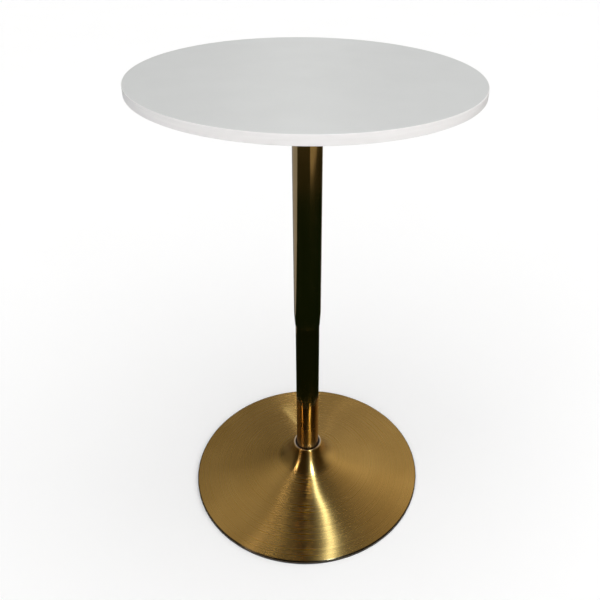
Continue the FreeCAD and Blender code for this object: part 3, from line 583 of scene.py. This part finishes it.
# Thrust race. Ground steel washers with hard balls between them, and a pressed cage round the balls.
# The rod, its clip and the release pin are ground as the race is.
ground_steel = metal("ground_steel", (0.50, 0.50, 0.50), (0.62, 0.62, 0.61), (900, 900, 40),
                     (0.12, 0.22), 0.00001)
dress(ground_steel, "race_lower", "race_upper", "race_balls", "piston_rod", "rod_clip",
      "release_pin")
dress(zinc_steel, "race_cage")

# Lift. A painted pressure cylinder with its light alloy piston, plug and valve, rubber where they
# seal or stop, and plastic where the tubes slide.
dress(black_paint, "pressure_cylinder")
light_alloy = metal("light_alloy", (0.60, 0.60, 0.60), (0.72, 0.72, 0.71), (80, 80, 2500),
                    (0.25, 0.4), 0.00002)
dress(light_alloy, "piston", "cylinder_plug", "valve_body")
dress(rubber, "rubber_damper", "piston_seal")
bush_plastic = coated(
    "bush_plastic", (0.05, 0.05, 0.05), (0.08, 0.08, 0.08),
    patches=((50, 50, 50), 3), marks=((1500, 1500, 1500), 2), rough=(0.4, 0.55), relief=0.00003)
dress(bush_plastic, "guide_bush", "sleeve_guide")

# Studio floor. A plain pale sheet under the table, as paper is in a studio. The table's shadow falls
# on it.
bpy.context.scene.view_settings.view_transform = "Standard"


def staged(name, shape, material):
    """A thing of the studio, which isn't part of the table."""
    mesh = bpy.data.meshes.new(name)
    shape.to_mesh(mesh)
    shape.free()
    mesh.materials.append(material)
    thing = bpy.data.objects.new(name, mesh)
    bpy.context.scene.collection.objects.link(thing)
    return thing


floor_paint, tree, shader, place = new_material("studio_floor")
tint(tree, shader, stretched_noise(tree, place, (2, 2, 2)),
     (0.972, 0.972, 0.972), (0.980, 0.980, 0.980))
shader.inputs["Roughness"].default_value = 0.9
shader.inputs["Specular IOR Level"].default_value = 0.1
floor_shape = bmesh.new()
bmesh.ops.create_grid(floor_shape, x_segments=1, y_segments=1, size=14)
staged("studio_floor", floor_shape, floor_paint)

# Backdrop. A pale dome far round the floor and as bright as it, so that no horizon shows. Only the
# camera sees it.
backdrop_paint, tree, shader, place = new_material("studio_backdrop")
tint(tree, shader, stretched_noise(tree, place, (0.1, 0.1, 0.1)),
     (0.975, 0.975, 0.975), (0.985, 0.985, 0.985))
pale = shader.inputs["Base Color"].links[0].from_socket
tree.links.new(pale, shader.inputs["Emission Color"])
shader.inputs["Emission Strength"].default_value = 1
dome_shape = bmesh.new()
bmesh.ops.create_icosphere(dome_shape, subdivisions=4, radius=13.5)
dome = staged("studio_backdrop", dome_shape, backdrop_paint)
dome.visible_diffuse = False
dome.visible_glossy = False
dome.visible_shadow = False


# Cloths and cards just over the floor, which only the metal mirrors. Black cloth lies all round the
# table and browner cloth further out. On the left and behind are pale cards, and a brown one is in
# front on the right.
def floor_card(name, height, corners, material):
    """A flat card with these corners, or a ring of two radii if there are only two of them."""
    shape = bmesh.new()
    if len(corners) == 2:
        side = [shape.verts.new((0, -far, height)) for far in corners]
        edge = shape.edges.new(side)
        bmesh.ops.spin(shape, geom=side + [edge], cent=(0, 0, 0), axis=(0, 0, 1),
                       angle=math.tau, steps=96, use_merge=True)
    else:
        points = [shape.verts.new((*corner, height)) for corner in corners]
        bmesh.ops.contextual_create(shape, geom=points)
    card = staged(name, shape, material)
    card.visible_camera = False
    card.visible_diffuse = False
    card.visible_shadow = False


def dull(name, low, high):
    """A cloth or a card, without any sheen."""
    material, tree, shader, place = new_material(name)
    tint(tree, shader, stretched_noise(tree, place, (90, 90, 90)), low, high)
    shader.inputs["Roughness"].default_value = 1
    shader.inputs["Specular IOR Level"].default_value = 0
    return material


floor_card("black_cloth", 0.0006, (0.27, 2.1),
           dull("black_cloth", (0.006, 0.012, 0.003), (0.010, 0.018, 0.006)))
floor_card("middle_cloth", 0.0007, (1.65, 2.1),
           dull("middle_cloth", (0.026, 0.024, 0.010), (0.034, 0.031, 0.014)))
floor_card("far_cloth", 0.0007, (2.1, 6.0),
           dull("far_cloth", (0.050, 0.042, 0.018), (0.060, 0.050, 0.024)))
floor_card("pale_card", 0.0009, ((-0.40, 0.42), (-6.0, -2.47), (-6.0, 3.0), (-1.5, 3.0)),
           dull("pale_card", (0.38, 0.40, 0.43), (0.40, 0.42, 0.46)))
floor_card("rear_card", 0.0009, ((0.30, 0.50), (-0.06, 0.58), (-0.6, 6.0), (3.6, 6.0)),
           dull("rear_card", (0.40, 0.40, 0.40), (0.44, 0.44, 0.44)))
floor_card("brown_card", 0.0009,
           ((0.74, -1.76), (1.64, -1.16), (2.90, 0.28), (6.0, 3.5), (6.0, -6.0), (2.5, -6.0)),
           dull("brown_card", (0.37, 0.31, 0.195), (0.42, 0.36, 0.235)))

# Room. Pale behind the table and dark brown in front of it, dimmer towards the horizon. Low down it
# gets brighter to the right, and high up to the left.
world = bpy.data.worlds.new("studio")
bpy.context.scene.world = world
world.use_nodes = True
sky = world.node_tree
facing = sky.nodes.new("ShaderNodeSeparateXYZ")
sky.links.new(sky.nodes.new("ShaderNodeTexCoord").outputs["Generated"], facing.inputs["Vector"])


def sloped(across, middle):
    """A level that is middle straight ahead and grows by across towards +X."""
    slope = sky.nodes.new("ShaderNodeMath")
    slope.operation = "MULTIPLY_ADD"
    slope.inputs[1].default_value = across
    slope.inputs[2].default_value = middle
    sky.links.new(facing.outputs["X"], slope.inputs[0])
    return slope.outputs["Value"]


level = ranged(sky, facing.outputs["Z"], 0.66, 0.86, sloped(0.60, 0.345), sloped(-0.30, 0.305),
               smooth=True)
level = ranged(sky, facing.outputs["Z"], 0, 0.35, 0.25, level)
sky.links.new(level, sky.nodes["Background"].inputs["Strength"])
glow = sky.nodes.new("ShaderNodeValToRGB")
glow.color_ramp.elements[0].color = (0.05, 0.035, 0.018, 1)
glow.color_ramp.elements[1].color = (1, 1, 1, 1)
sky.links.new(ranged(sky, facing.outputs["Y"], -0.1, 0.60), glow.inputs["Fac"])
sky.links.new(glow.outputs["Color"], sky.nodes["Background"].inputs["Color"])


# Lamps. One wide soft lamp lights what is dull, and the others are only mirrored in the metal: the
# key in front makes the streak down the trumpet, and the rest fill in round it.
def sun(name, way, level, spread, mirrored, colour=(1, 1, 1)):
    """A far lamp in the direction way, which would light a level white surface to this level."""
    light = bpy.data.lights.new(name, "SUN")
    light.energy = level * math.pi / Vector(way).normalized().z
    light.angle = math.radians(spread)
    light.color = colour
    thing = bpy.data.objects.new(name, light)
    bpy.context.scene.collection.objects.link(thing)
    thing.matrix_world = Vector(way).to_track_quat("Z", "Y").to_matrix().to_4x4()
    thing.visible_diffuse = not mirrored
    thing.visible_glossy = mirrored


sun("wide_lamp", (0.17, -0.60, 1.0), 0.93, 105, False)
sun("key_lamp", (0.237, -0.41, 0.881), 0.74, 2, True, (0.57, 0.74, 1.0))
sun("left_lamp", (-0.60, -0.45, 0.66), 0.085, 8, True, (0.95, 0.88, 0.88))
sun("left_glow", (-0.25, 0.0, 0.968), 0.012, 7, True)
sun("left_wall", (-0.82, 0.18, 0.50), 0.017, 50, True)
sun("left_fill", (-0.270, 0.430, 0.860), 0.018, 40, True)
sun("right_fill", (0.264, 0.520, 0.810), 0.008, 18, True, (1.0, 0.88, 0.70))
sun("back_lamp", (-0.05, 0.92, 0.38), 0.004, 4, True)
sun("back_glow", (-0.105, 0.90, 0.42), 0.0014, 5, True)
